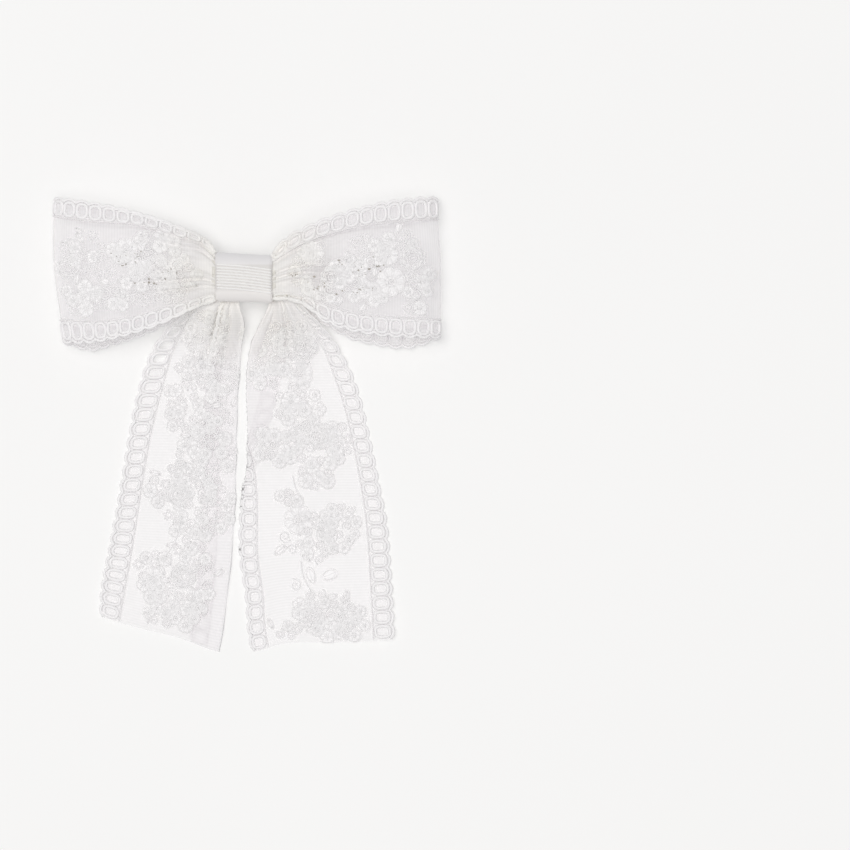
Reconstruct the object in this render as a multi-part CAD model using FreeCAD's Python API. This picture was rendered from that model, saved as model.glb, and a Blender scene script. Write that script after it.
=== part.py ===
import FreeCAD, Part

import os

from FreeCAD import Vector

# A lace hair bow lying face up, in millimetres.
# +X runs across the bow, +Y towards the top of the knot, +Z out of its face.
# The origin is on the flat underside of the clip, below the middle of the knot.

os.makedirs("parts", exist_ok=True)

# Driving dimensions of the bow
CLOTH = 0.6            # thickness given to every ribbon
RIGHT_REACH = 56.7     # knot centre to the fold of the right loop
LEFT_REACH = 55.6      # knot centre to the fold of the left loop
LOOP_TOP = 23.6        # highest scallop of the loops
LOOP_BOTTOM = -20.6    # lowest scallop of the loops
TAIL_END = -108.2      # lowest corner of both tails
HINGE_Y = -26.0        # line where a tail bends as it is lifted
HINGE_GAP = 0.4        # gap in the cloth solids along that line

# Driving dimensions of the knot
WRAP_LEFT = -8.4
WRAP_RIGHT = 8.0
WRAP_HALF_Y = 7.1
WRAP_HALF_Z = 3.6
KNOT_Z = 10.4          # height of the knot's axis
WAIST_HALF_Y = 5.9
WAIST_HALF_Z = 2.5
THREAD = 0.4           # thickness of the gathering thread's turns

# Driving dimensions of the clip, a 45 mm single hinge clip
CLIP_TAB_X = -21.0
CLIP_TIP_X = 24.0
CLIP_WIDTH = 8.0
SHEET = 0.7            # sheet steel
PIN_X = -11.0
PIN_Z = 2.85
PIN_R = 0.75
RUNNING_GAP = 0.05     # between the pin and the lower jaw's ears
JAW_TOP_Z = 5.7        # top of the upper jaw where the bow is glued on
GLUE = 0.4             # thickness of the glue on the clip
WIRE_R = 0.22          # spring wire


# ---------------------------------------------------------------- helpers

def spline_edge(points):
    curve = Part.BSplineCurve()
    curve.interpolate([Vector(*p) for p in points])
    return curve.toShape()


def line_edge(a, b):
    return Part.LineSegment(Vector(*a), Vector(*b)).toShape()


def face_of(edges):
    return Part.Face(Part.Wire(Part.__sortEdges__(edges)))


def outline_prism(sides, low, high):
    """A prism between two heights. Each side of its outline is a run of (x, y) points."""
    edges = []
    for index, side in enumerate(sides):
        points = [(x, y, low) for x, y in side]
        if len(points) > 2:
            edges.append(spline_edge(points))
        else:
            edges.append(line_edge(points[0], points[1]))
        following = sides[(index + 1) % len(sides)][0]
        if following != side[-1]:
            edges.append(line_edge(points[-1], (following[0], following[1], low)))
    return face_of(edges).extrude(Vector(0, 0, high - low))


def ellipse_prism(half_y, half_z, x_low, x_high):
    """An elliptical cylinder along X round the knot's axis."""
    ellipse = Part.Ellipse(Vector(x_low, half_y, KNOT_Z), Vector(x_low, 0, KNOT_Z + half_z),
                           Vector(x_low, 0, KNOT_Z))
    return face_of([ellipse.toShape()]).extrude(Vector(x_high - x_low, 0, 0))


def box(x_low, x_high, y_low, y_high, z_low, z_high):
    size = (x_high - x_low, y_high - y_low, z_high - z_low)
    return Part.makeBox(*size, Vector(x_low, y_low, z_low))


def save(name, shape):
    shape = shape.removeSplitter()
    if not shape.isValid():
        raise ValueError(name + " is not a valid shape")
    shape.exportStep("parts/" + name + ".step")
    print(name, len(shape.Solids), "solid(s)", round(shape.Volume, 1), "mm3")


# ---------------------------------------------------------------- ribbons

def inset(section, depth):
    """The same (x, z) curve moved towards its inside by depth."""
    outer = Part.BSplineCurve()
    outer.interpolate([Vector(x, 0, z) for x, z in section])
    middle_z = sum(z for _, z in section) / len(section)
    middle_x = sum(x for x, _ in section) / len(section)
    moved = []
    for x, z in section:
        along = outer.tangent(outer.parameter(Vector(x, 0, z)))[0]
        across = Vector(along.z, 0, -along.x)
        inward = Vector(middle_x - x, 0, middle_z - z)
        if across.dot(inward) < 0:
            across = across * -1
        moved.append((x + depth * across.x, z + depth * across.z))
    return moved


def drop_prism(section):
    """A teardrop in XZ, drawn out along Y past the loop's top and bottom edges."""
    margin = 2.0
    start_y = LOOP_BOTTOM - margin
    points = [(x, start_y, z) for x, z in section]
    face = face_of([spline_edge(points), line_edge(points[-1], points[0])])
    return face.extrude(Vector(0, LOOP_TOP - LOOP_BOTTOM + 2 * margin, 0))


def loop(section, sides):
    """A loop: a band of ribbon folded back on itself, seen from the side as a
    teardrop, cut to the outline that it shows from the front. A wall as thick
    as the cloth closes it at the waist."""
    waist_wall = box(WRAP_LEFT - CLOTH, WRAP_RIGHT + CLOTH, -30, 30, 0, 20)
    hollow = drop_prism(inset(section, CLOTH)).cut(waist_wall)
    band = drop_prism(section).cut(hollow)
    return band.common(outline_prism(sides, 0, 20))


def right_loop():
    """Its lower edge leaves room beside the knot for the tail that comes out there."""
    fold = RIGHT_REACH
    rise = [
        (WRAP_RIGHT, 2.3), (14, 3.8), (24, 4.8), (36, 4.4), (47, 2.4), (fold - 2.6, -0.8),
        (fold, -3.8), (fold - 2.2, -6.4), (47, -7.6), (36, -7.2), (24, -5.4), (14, -3.4),
        (WRAP_RIGHT, -2.3),
    ]
    section = [(x, KNOT_Z + z) for x, z in rise]
    top = [(WRAP_RIGHT, 6.4), (14.4, 12.4), (26.5, 17.6), (40.8, 21.4), (fold, LOOP_TOP)]
    bottom = [(fold, -19.0), (44.8, -20.2), (30.6, -17.4), (19.5, -10.8), (WRAP_RIGHT, -3.4)]
    return loop(section, [top, bottom])


def left_loop():
    """Its back panel passes over the clip's thumb tab."""
    fold = -LEFT_REACH
    rise = [
        (WRAP_LEFT, 2.3), (-14, 3.8), (-24, 4.7), (-36, 4.2), (-47, 2.2), (fold + 2.6, -0.8),
        (fold, -3.8), (fold + 2.2, -6.2), (-47, -7.2), (-37, -5.8), (-28, -4.0), (-20, -2.9),
        (WRAP_LEFT, -2.3),
    ]
    section = [(x, KNOT_Z + z) for x, z in rise]
    top = [(WRAP_LEFT, 6.4), (-12.7, 11.2), (-23.3, 16.2), (-36.3, 19.9), (fold, 23.1)]
    bottom = [(fold, -18.0), (-47.7, LOOP_BOTTOM), (-31.5, -16.8), (-20.4, -11.8), (WRAP_LEFT, -4.0)]
    return loop(section, [top, bottom])


def tail_root_sheet():
    """Both tails come down from behind the knot to the table in one drape, here
    a strip curved in YZ and as wide as both tails."""
    head = JAW_TOP_Z + GLUE
    falls = [(-6.0, 1.0), (-9.0, 0.85), (-12.0, 0.61), (-16.0, 0.34), (-20.0, 0.13), (HINGE_Y, 0.0)]
    under = [(y, head * share) for y, share in falls]
    half = 40.0
    low = [(-half, y, z) for y, z in under]
    high = [(-half, y, z + CLOTH) for y, z in under]
    back = 5.4
    edges = [
        spline_edge(low), spline_edge(high),
        line_edge(low[-1], high[-1]),
        line_edge(low[0], (-half, back, head)),
        line_edge((-half, back, head), (-half, back, head + CLOTH)),
        line_edge((-half, back, head + CLOTH), high[0]),
    ]
    return face_of(edges).extrude(Vector(2 * half, 0, 0))


def tail_root(sides):
    return tail_root_sheet().common(outline_prism(sides, -1, 10))


def left_tail_root():
    end = HINGE_Y + HINGE_GAP / 2
    outer = [(-8.6, -3.2), (-14.0, -8.8), (-22.9, -15.6), (-27.4, -21.0), (-29.4, end)]
    inner = [(-1.6, end), (-0.9, -18.0), (-0.6, -12.3), (-0.2, -6.0)]
    return tail_root([[(-0.2, 5.0), (-8.6, 5.0)], outer, inner])


def right_tail_root():
    end = HINGE_Y + HINGE_GAP / 2
    outer = [(29.8, end), (27.4, -21.0), (23.0, -14.9), (15.0, -8.2), (8.6, -3.0)]
    inner = [(0.2, -6.0), (4.4, -12.3), (1.3, -18.6), (0.4, end)]
    return tail_root([[(8.6, 5.0), (0.2, 5.0)], inner, outer])


def left_tail():
    """It lies flat, its inner edge folded under and its end cut on the slant."""
    start = HINGE_Y - HINGE_GAP / 2
    outer = [(-29.5, start), (-33.2, -41.0), (-36.4, -60.0), (-39.9, -79.0), (-42.3, -97.6)]
    end = [(-42.3, -97.6), (-30.3, -101.4), (-18.9, -104.1), (-8.7, TAIL_END)]
    inner = [(-8.7, TAIL_END), (-4.6, -83.0), (-2.9, -55.0), (-1.6, start)]
    return outline_prism([outer, end, inner], 0, CLOTH)


def right_tail():
    start = HINGE_Y - HINGE_GAP / 2
    outer = [(29.9, start), (34.0, -39.0), (38.2, -58.0), (41.2, -79.0), (42.8, -104.4)]
    end = [(42.8, -104.4), (26.2, -105.2), (9.6, -105.9), (2.8, TAIL_END)]
    inner = [(2.8, TAIL_END), (-0.4, -88.5), (-1.9, -72.0), (0.6, -52.0), (0.3, start)]
    return outline_prism([outer, end, inner], 0, CLOTH)


# ---------------------------------------------------------------- knot

def gathered_waist():
    """The pinched middle of the loop ribbon, a pleated bundle inside the wrap."""
    return ellipse_prism(WAIST_HALF_Y, WAIST_HALF_Z, WRAP_LEFT, WRAP_RIGHT)


def gathering_thread():
    """Three turns of thread that hold the pleats."""
    pitch = 1.2
    turns = []
    for turn in range(3):
        x_low = (turn - 1) * pitch - THREAD / 2
        outer = ellipse_prism(WAIST_HALF_Y + THREAD, WAIST_HALF_Z + THREAD, x_low, x_low + THREAD)
        inner = ellipse_prism(WAIST_HALF_Y, WAIST_HALF_Z, x_low, x_low + THREAD)
        turns.append(outer.cut(inner))
    return Part.Compound(turns)


def centre_wrap():
    """Ribbed ribbon wound once round the waist, a closed oval band along X."""
    outer = ellipse_prism(WRAP_HALF_Y, WRAP_HALF_Z, WRAP_LEFT, WRAP_RIGHT)
    inner = ellipse_prism(WRAP_HALF_Y - CLOTH, WRAP_HALF_Z - CLOTH, WRAP_LEFT, WRAP_RIGHT)
    return outer.cut(inner)


def knot_glue():
    """Glue between the wrap's underside and the head of the tails."""
    tails_top = JAW_TOP_Z + GLUE + CLOTH
    bead = box(-6.0, 6.0, -3.2, 3.2, tails_top, tails_top + 0.7)
    return bead.cut(ellipse_prism(WRAP_HALF_Y, WRAP_HALF_Z, WRAP_LEFT, WRAP_RIGHT))


def clip_glue():
    """Glue between the head of the tails and the clip's upper jaw."""
    return box(-7.5, 7.5, -3.6, 3.6, JAW_TOP_Z, JAW_TOP_Z + GLUE)


# ---------------------------------------------------------------- clip

def along_y(profile, half_width):
    """A bent sheet: a closed (x, z) outline of straight runs, as wide as the clip."""
    points = [(x, -half_width, z) for x, z in profile]
    edges = [line_edge(a, b) for a, b in zip(points, points[1:] + points[:1])]
    return face_of(edges).extrude(Vector(0, 2 * half_width, 0))


def pin_cylinder(radius, y_low, y_high):
    start = Vector(PIN_X, y_low, PIN_Z)
    return Part.makeCylinder(radius, y_high - y_low, start, Vector(0, 1, 0))


def ear(radius, y_low, y_high, z_root, hole_r):
    """A lug with a round end about the pin, joined to a jaw at height z_root."""
    disc = pin_cylinder(radius, y_low, y_high)
    low, high = sorted((z_root, PIN_Z))
    web = box(PIN_X - radius, PIN_X + radius, y_low, y_high, low, high)
    return disc.fuse(web).cut(pin_cylinder(hole_r, y_low, y_high))


def clip_upper_jaw():
    """Flat under the bow, sloping to a toothed tip, its thumb tab bent up."""
    half = CLIP_WIDTH / 2
    under = JAW_TOP_Z - SHEET
    tip_z = 0.95
    tab_rise = 1.0
    plate = along_y([
        (CLIP_TAB_X, under + tab_rise), (-13.4, under), (9.0, under), (CLIP_TIP_X, tip_z),
        (CLIP_TIP_X, tip_z + SHEET), (9.2, JAW_TOP_Z), (-13.3, JAW_TOP_Z),
        (CLIP_TAB_X, JAW_TOP_Z + tab_rise),
    ], half)
    body = plate
    for side in (-1, 1):
        y_low, y_high = sorted((side * 2.3, side * 3.0))
        body = body.fuse(ear(1.3, y_low, y_high, under + 0.1, PIN_R))
    teeth = 5
    pitch = CLIP_WIDTH / teeth
    for index in range(teeth):
        middle = -half + (index + 0.5) * pitch
        tooth = Part.makePolygon([
            Vector(CLIP_TIP_X - SHEET, middle - 0.4 * pitch, tip_z + 0.35),
            Vector(CLIP_TIP_X - SHEET, middle + 0.4 * pitch, tip_z + 0.35),
            Vector(CLIP_TIP_X - SHEET, middle, SHEET + 0.03),
            Vector(CLIP_TIP_X - SHEET, middle - 0.4 * pitch, tip_z + 0.35),
        ])
        body = body.fuse(Part.Face(tooth).extrude(Vector(SHEET, 0, 0)))
    return body


def clip_lower_jaw():
    """A flat blade, rounded at both ends, with a pair of ears outside the upper jaw's."""
    half = CLIP_WIDTH / 2
    blade = box(CLIP_TAB_X, CLIP_TIP_X, -half, half, 0, SHEET)
    corners = [edge for edge in blade.Edges
               if abs(edge.Vertexes[0].Z - edge.Vertexes[1].Z) > SHEET / 2]
    body = blade.makeFillet(2.2, corners)
    for side in (-1, 1):
        y_low, y_high = sorted((side * 3.3, side * half))
        body = body.fuse(ear(1.5, y_low, y_high, SHEET - 0.1, PIN_R + RUNNING_GAP))
    return body


def clip_hinge_pin():
    """A rivet: a shank through all four ears, headed at both ends."""
    half = CLIP_WIDTH / 2
    pin = pin_cylinder(PIN_R, -half - 0.5, half + 0.5)
    for side in (-1, 1):
        y_low, y_high = sorted((side * (half + 0.08), side * (half + 0.5)))
        pin = pin.fuse(pin_cylinder(PIN_R + 0.45, y_low, y_high))
    return pin


def clip_spring():
    """A torsion spring wound on the pin, with a straight leg to each thumb tab."""
    coil_r = 1.05
    turns = 5.5
    pitch = 2.3 * WIRE_R
    height = turns * pitch
    profile = Part.Wire(Part.Circle(Vector(coil_r, 0, 0), Vector(0, 1, 0), WIRE_R).toShape())
    coil = Part.Wire(Part.makeHelix(pitch, height, coil_r)).makePipeShell([profile], True, True)
    coil.rotate(Vector(0, 0, 0), Vector(1, 0, 0), -90)
    coil.rotate(Vector(0, 0, 0), Vector(0, 1, 0), 90)
    coil.translate(Vector(PIN_X, -height / 2, PIN_Z))
    reach = 7.5
    overlap = 0.1
    spring = coil
    low_end = SHEET + WIRE_R + 0.03
    high_end = JAW_TOP_Z - SHEET + 0.3
    for side, z_end in ((-1, low_end), (1, high_end)):
        start = Vector(PIN_X + overlap, side * height / 2, PIN_Z + side * coil_r)
        end = Vector(PIN_X - reach, side * height / 2, z_end)
        spring = spring.fuse(Part.makeCylinder(WIRE_R, (end - start).Length, start, end - start))
    return spring


PIECES = (
    right_loop, left_loop, left_tail_root, right_tail_root, left_tail, right_tail,
    gathered_waist, gathering_thread, centre_wrap, knot_glue, clip_glue,
    clip_upper_jaw, clip_lower_jaw, clip_hinge_pin, clip_spring,
)

for piece in PIECES:
    save(piece.__name__, piece())
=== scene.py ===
import math
import random

import bpy
import numpy as np
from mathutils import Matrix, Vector


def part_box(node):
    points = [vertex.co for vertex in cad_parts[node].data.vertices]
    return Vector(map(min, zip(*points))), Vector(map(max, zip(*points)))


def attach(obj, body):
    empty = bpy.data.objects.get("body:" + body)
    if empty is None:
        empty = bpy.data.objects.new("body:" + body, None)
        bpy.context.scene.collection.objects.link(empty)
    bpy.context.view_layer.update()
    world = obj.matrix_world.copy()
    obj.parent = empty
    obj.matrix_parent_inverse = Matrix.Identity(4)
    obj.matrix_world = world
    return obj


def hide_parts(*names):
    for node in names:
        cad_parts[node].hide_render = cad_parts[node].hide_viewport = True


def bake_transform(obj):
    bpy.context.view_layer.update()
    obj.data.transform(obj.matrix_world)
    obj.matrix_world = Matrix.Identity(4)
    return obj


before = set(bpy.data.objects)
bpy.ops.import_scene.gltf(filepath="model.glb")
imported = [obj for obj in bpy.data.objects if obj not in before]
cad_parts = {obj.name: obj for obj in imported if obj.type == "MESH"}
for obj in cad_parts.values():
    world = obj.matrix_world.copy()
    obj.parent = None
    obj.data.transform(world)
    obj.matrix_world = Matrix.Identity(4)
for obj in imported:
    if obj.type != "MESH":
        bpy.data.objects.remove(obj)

# Every length below is in millimetres in the frame's axes, until a mesh is written in metres.
MM = 0.001
TURN = 2 * math.pi
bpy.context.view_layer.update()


def box_mm(node):
    low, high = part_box(node)
    return [c / MM for c in low], [c / MM for c in high]


# -------- sizes from the frame

WRAP_LOW, WRAP_HIGH = box_mm("centre_wrap")
KNOT_Z = (WRAP_LOW[2] + WRAP_HIGH[2]) / 2
WRAP_HALF_Y = (WRAP_HIGH[1] - WRAP_LOW[1]) / 2
WRAP_HALF_Z = (WRAP_HIGH[2] - WRAP_LOW[2]) / 2
RIGHT_REACH = box_mm("right_loop")[1][0]
LEFT_REACH = -box_mm("left_loop")[0][0]
HINGE_Y = (box_mm("left_tail")[1][1] + box_mm("left_tail_root")[0][1]) / 2
TAIL_END = box_mm("left_tail")[0][1]
PIN_LOW, PIN_HIGH = box_mm("clip_hinge_pin")
PIN_X = (PIN_LOW[0] + PIN_HIGH[0]) / 2
PIN_Z = (PIN_LOW[2] + PIN_HIGH[2]) / 2

RIBBON = 43.0            # width of the lace ribbon laid flat
EDGING = 5.0             # width of the ring edging along each side
HALF = RIBBON / 2
CORD = HALF - EDGING     # the cord line, measured from the ribbon's middle
SEWN = CORD - 0.6        # the embroidery stays this close to the ribbon's middle
RING_PITCH = 4.06        # one ring and scallop of the edging
RIB_PITCH = 0.8          # cross ribs of the organza
WRAP_RIB_PITCH = 0.83    # cross ribs of the grosgrain wrap
WRAP_RIBS = 9
WRAP_RIB_RADIUS = 0.29
WRAP_TILT = 0.045        # how much the wrap drops towards its right end
WRAP_FRONT = WRAP_HALF_Z - 0.3    # how high the wrap's front is above its middle
THREAD_LIFT = 0.16       # the middle of the cord and of the rim's thread above the cloth
TABLE_GAP = 0.12         # the tails' cloth stays this high above the table
LOOP_POINTS, TAIL_POINTS = 1600, 1200
SEED = 11


# -------- curves

def smooth(points):
    """A function of x through (x, y) points, cubic between them."""
    table = sorted(points)
    xs = np.array([p[0] for p in table], float)
    ys = np.array([p[1] for p in table], float)
    slopes = np.gradient(ys, xs)

    def value(x):
        x = np.clip(np.asarray(x, float), xs[0], xs[-1])
        i = np.clip(np.searchsorted(xs, x, side="right") - 1, 0, len(xs) - 2)
        step = xs[i + 1] - xs[i]
        t = (x - xs[i]) / step
        rise = ys[i + 1] - ys[i]
        a = slopes[i] * step
        b = slopes[i + 1] * step
        return ys[i] + a * t + (3 * rise - 2 * a - b) * t**2 + (a + b - 2 * rise) * t**3

    return value


def length_so_far(points):
    steps = np.linalg.norm(np.diff(points, axis=0), axis=1)
    return np.concatenate([[0], np.cumsum(steps)])


def path_through(points, count):
    """A dense curve through (x, z) points, with its length so far at each of its points."""
    points = np.array(points, float)
    chord = length_so_far(points)
    x_of = smooth(list(zip(chord, points[:, 0])))
    z_of = smooth(list(zip(chord, points[:, 1])))
    s = np.linspace(0, chord[-1], count)
    curve = np.column_stack([x_of(s), z_of(s)])
    return curve, length_so_far(curve)


def ease(x, low, high):
    """0 before low, 1 after high, smooth between."""
    t = np.clip((np.asarray(x, float) - low) / (high - low), 0, 1)
    return t * t * (3 - 2 * t)


def unit(vectors):
    return vectors / np.maximum(np.linalg.norm(vectors, axis=1, keepdims=True), 1e-9)


def full_circle(count):
    return np.linspace(0, TURN, count, endpoint=False)


def out_from(x, y, turn, out, aside=0.0):
    """The place that far out and aside of (x, y), with out turned from the x axis."""
    c, s = math.cos(turn), math.sin(turn)
    return x + c * out - s * aside, y + s * out + c * aside


def straight_runs(x, knots, values):
    """Straight runs between knots. Knots and values may be arrays as long as x."""
    result = values[0] + 0 * x
    for k in range(len(knots) - 1):
        low, high = knots[k], knots[k + 1]
        share = (x - low) / np.maximum(high - low, 1e-9)
        result = np.where(x >= low, values[k] + (values[k + 1] - values[k]) * share, result)
    return result


# -------- the ribbon's shape

def pleat_wave(v, count, phase):
    """Soft folds across the ribbon, uneven in width, between -1 and 1."""
    share = v / HALF
    turn = math.pi * count * (share + 0.10 * np.sin(2.1 * math.pi * share + phase)) + phase
    fold = np.sin(turn)
    return fold * (1.25 - 0.25 * fold**2)


class Ribbon:
    """A stretch of the lace ribbon. at(u, v) gives the place of the point u along the
    ribbon and v across it, both measured as if it lay flat."""

    def normal(self, u, v):
        step = 0.05
        along = self.at(u + step, v) - self.at(u - step, v)
        across = self.at(u, v + step) - self.at(u, v - step)
        return unit(np.cross(along, across) * self.facing)

    def lifted(self, u, v, height):
        return self.at(u, v) + self.normal(u, v) * height.reshape(-1, 1)


class Loop(Ribbon):
    """Front panel, outer fold and back panel of one loop, from the knot and back to it."""

    def __init__(self, side, reach, rise, edges_front, edges_back, fold_bow, phase):
        self.side = side
        self.facing = side
        self.phase = phase
        section = [(x, KNOT_Z + z) for x, z in rise]
        self.curve, self.run = path_through(section, LOOP_POINTS)
        self.length = self.run[-1]
        self.turn = self.run[int(np.argmax(self.curve[:, 0]))]
        self.reach = reach
        self.front = [smooth(e) for e in edges_front]
        self.back = [smooth(e) for e in edges_back]
        self.fold_bow = smooth(fold_bow)
        self.knots = (-HALF, -CORD, CORD, HALF)

    def edges(self, u, x):
        is_front = u <= self.turn
        return [np.where(is_front, f(x), b(x)) for f, b in zip(self.front, self.back)]

    def at(self, u, v):
        x = np.interp(u, self.run, self.curve[:, 0])
        z = np.interp(u, self.run, self.curve[:, 1])
        edges = self.edges(u, x)
        y = straight_runs(v, self.knots, edges)
        width = edges[3] - edges[0]
        spare = np.sqrt(np.maximum(RIBBON**2 - width**2, 0)) / 24
        front = np.where(u <= self.turn, 1.0, -1.0)
        near = 1 - ease(x, 8.5, 16)
        oval = np.sqrt(np.clip(1 - (y / 7.4)**2, 0.02, 1))
        tuck = KNOT_Z + front * 2.35 * oval
        z = z * (1 - near) + tuck * near
        fades = 1 - ease(x, 24, 44)
        swell = spare * (0.35 + 0.65 * ease(x, 8, 13)) * fades
        z = z + swell * 0.34 * pleat_wave(v, 6.0, self.phase + (front < 0) * 1.7)
        bow = self.fold_bow(y) * ease(x / self.reach, 0.45, 1.0)
        return np.column_stack([self.side * (x + bow), y, z])

    def flat_place(self, x, y):
        """The flat place of the front panel's point that shows at (x, y)."""
        x = x * self.side
        x = x - self.fold_bow(y) * ease(x / self.reach, 0.45, 1.0)
        front_part = self.run <= self.turn
        u = np.interp(x, self.curve[front_part, 0], self.run[front_part])
        edges = [f(x) for f in self.front]
        return u, straight_runs(y, edges, self.knots)


class Tail(Ribbon):
    """One tail, from the knot down to its cut end. Its inner side may be folded under:
    hidden(y) is how much of the flat width lies under the rest there."""

    def __init__(self, side, outer, cord, inner, fall, hidden, end_slant, phase):
        self.facing = -side
        self.phase = phase
        self.outer, self.cord, self.inner = smooth(outer), smooth(cord), smooth(inner)
        self.hidden = smooth(hidden)
        self.end_slant = smooth(end_slant)
        self.curve, self.run = path_through(fall, TAIL_POINTS)
        self.length = self.run[-1]

    def at(self, u, v):
        """v is -HALF at the tail's outer edge and HALF at its inner one."""
        y = np.interp(u, self.run, self.curve[:, 0])
        z = np.interp(u, self.run, self.curve[:, 1])
        seen = RIBBON - self.hidden(y)
        gone = v + HALF
        outer, cord, inner = self.outer(y), self.cord(y), self.inner(y)
        top = straight_runs(gone, (0, EDGING, seen), (outer, cord, inner))
        spread = (inner - cord) / np.maximum(seen - EDGING, 1e-6)
        past = np.maximum(gone - seen, 0)
        turned = inner - spread * past * 0.96
        x = np.where(gone <= seen, top, turned)
        share = (x - outer) / (inner - outer)
        spare = np.sqrt(np.maximum(seen**2 - (inner - outer)**2, 0)) / 20
        fades = 1 - ease(-y, 20, 46)
        swell = spare * fades * (0.3 + 0.7 * ease(-y, 6, 12))
        z = z + swell * 0.8 * (1 + pleat_wave(v, 4.2, self.phase)) * ease(-y, 2, 8)
        beside = ease(np.abs(x), 7.0, 11.0) * (1 - ease(-y, 3, 13))
        z = z + 2.6 * beside
        lies = ease(-y, 26, 40)
        ripple = np.sin(-y / 17.0 + self.phase) * np.sin(share * 2.6 + 0.8 * self.phase)
        z = z + lies * (0.75 + 0.6 * ripple + 0.35 * np.sin(-y / 7.5 + share * 3.0))
        z = z - 0.55 * ease(past, 0, 1.4)
        slide = self.end_slant(x) * ease(-y, 60, -TAIL_END)
        return np.column_stack([x, y + slide, np.maximum(z, TABLE_GAP)])

    def flat_place(self, x, y):
        y = y - self.end_slant(x) * ease(-y, 60, -TAIL_END)
        u = np.interp(-y, -self.curve[:, 0], self.run)
        seen = RIBBON - self.hidden(y)
        outer, cord, inner = self.outer(y), self.cord(y), self.inner(y)
        near = (x - outer) / (cord - outer) * EDGING
        far = EDGING + (x - cord) / (inner - cord) * (seen - EDGING)
        gone = np.where(near < EDGING, near, far)
        return u, gone - HALF


def right_loop_shape():
    reach = RIGHT_REACH - 0.3
    rise = [(7.6, 2.2), (14, 3.3), (24, 4.3), (36, 3.9), (47, 2.0), (reach - 2.3, -1.0),
            (reach, -3.8), (reach - 2.0, -6.1), (47, -7.2), (36, -6.8), (24, -5.0), (14, -3.0),
            (7.6, -2.2)]
    top = [(7.6, 6.8), (11.5, 11.0), (14.4, 12.8), (18.4, 14.8), (26.5, 17.9), (34.7, 20.2),
           (42.8, 21.9), (51.8, 23.0), (56.7, 23.3)]
    cord_top = [(7.6, 4.4), (14.4, 8.7), (20.4, 11.3), (26.5, 13.1), (32.6, 14.6), (38.7, 15.5),
                (46.8, 16.3), (56.7, 17.1)]
    cord_low = [(7.6, -4.6), (13.2, -4.6), (18.0, -5.6), (22.5, -7.5), (33.2, -10.5), (38.7, -11.1),
                (56.7, -11.9)]
    low = [(7.6, -6.2), (13.2, -6.4), (18.0, -8.4), (22.5, -12.2), (28.6, -14.6), (38.7, -16.5),
           (56.7, -17.2)]
    back = [
        [(7.6, -3.6), (13.2, -6.0), (22.5, -12.9), (30.0, -17.0), (38.7, -19.2), (46.8, -20.0),
         (56.7, -17.2)],
        [(7.6, -2.6), (13.2, -4.6), (22.5, -8.4), (33.2, -12.8), (46.8, -14.6), (56.7, -11.9)],
        [(7.6, 4.4), (20.4, 10.8), (32.6, 14.0), (46.8, 15.4), (56.7, 17.1)],
        [(7.6, 6.0), (14.4, 12.2), (26.5, 17.2), (42.8, 20.8), (56.7, 23.3)],
    ]
    bow = [(-20, -0.4), (-6, 0.0), (4, 0.0), (18, -0.9), (24, -1.2)]
    return Loop(1, reach, rise, [low, cord_low, cord_top, top], back, bow, 0.4)


def left_loop_shape():
    reach = LEFT_REACH - 0.3
    rise = [(7.9, 2.2), (14, 3.3), (24, 4.2), (36, 3.7), (47, 1.8), (reach - 2.3, -1.0),
            (reach, -3.8), (reach - 2.0, -5.9), (47, -6.8), (37, -5.4), (28, -3.6), (20, -2.5),
            (7.9, -2.2)]
    top = [(7.9, 6.6), (10.3, 10.2), (12.7, 12.0), (17.2, 13.9), (23.3, 16.3), (29.8, 18.3),
           (36.3, 20.0), (42.4, 21.2), (55.6, 23.2)]
    cord_top = [(7.9, 5.2), (11.2, 9.0), (19.3, 12.0), (27.4, 14.6), (43.6, 16.2), (55.6, 18.0)]
    cord_low = [(7.9, -4.8), (12.0, -5.6), (16.8, -7.1), (23.3, -8.9), (31.5, -11.0), (39.6, -12.3),
                (55.6, -12.0)]
    low = [(7.9, -6.4), (13.0, -8.2), (21.3, -12.2), (25.4, -13.9), (31.5, -15.8), (39.6, -17.6),
           (47.7, -18.7), (55.6, -18.6)]
    back = [
        [(7.9, -4.2), (21.3, -12.6), (31.5, -16.9), (39.6, -19.0), (47.7, -20.7), (55.6, -18.6)],
        [(7.9, -3.2), (23.3, -9.6), (31.5, -12.2), (39.6, -13.8), (47.7, -15.2), (55.6, -12.0)],
        [(7.9, 5.0), (19.3, 11.6), (27.4, 14.0), (43.6, 15.4), (55.6, 18.0)],
        [(7.9, 6.2), (12.7, 11.6), (23.3, 15.8), (36.3, 19.4), (42.4, 20.6), (55.6, 23.2)],
    ]
    bow = [(-21, -3.4), (-12, -2.0), (4, 0.0), (18, 0.0), (24, -0.6)]
    return Loop(-1, reach, rise, [low, cord_low, cord_top, top], back, bow, 2.1)


def fall_line(end):
    """How the tails come down from the knot: (y, z) from behind the wrap to the cut end."""
    head = KNOT_Z - 2.2
    shares = [(-2.0, 0.80), (-6.0, 0.98), (-9.0, 0.96), (-12.0, 0.76), (-16.0, 0.46), (-20.0, 0.23),
              (HINGE_Y, 0.08), (-40.0, 0.03), (-70.0, 0.03), (end, 0.03)]
    return [(y, head * share) for y, share in shares]


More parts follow.
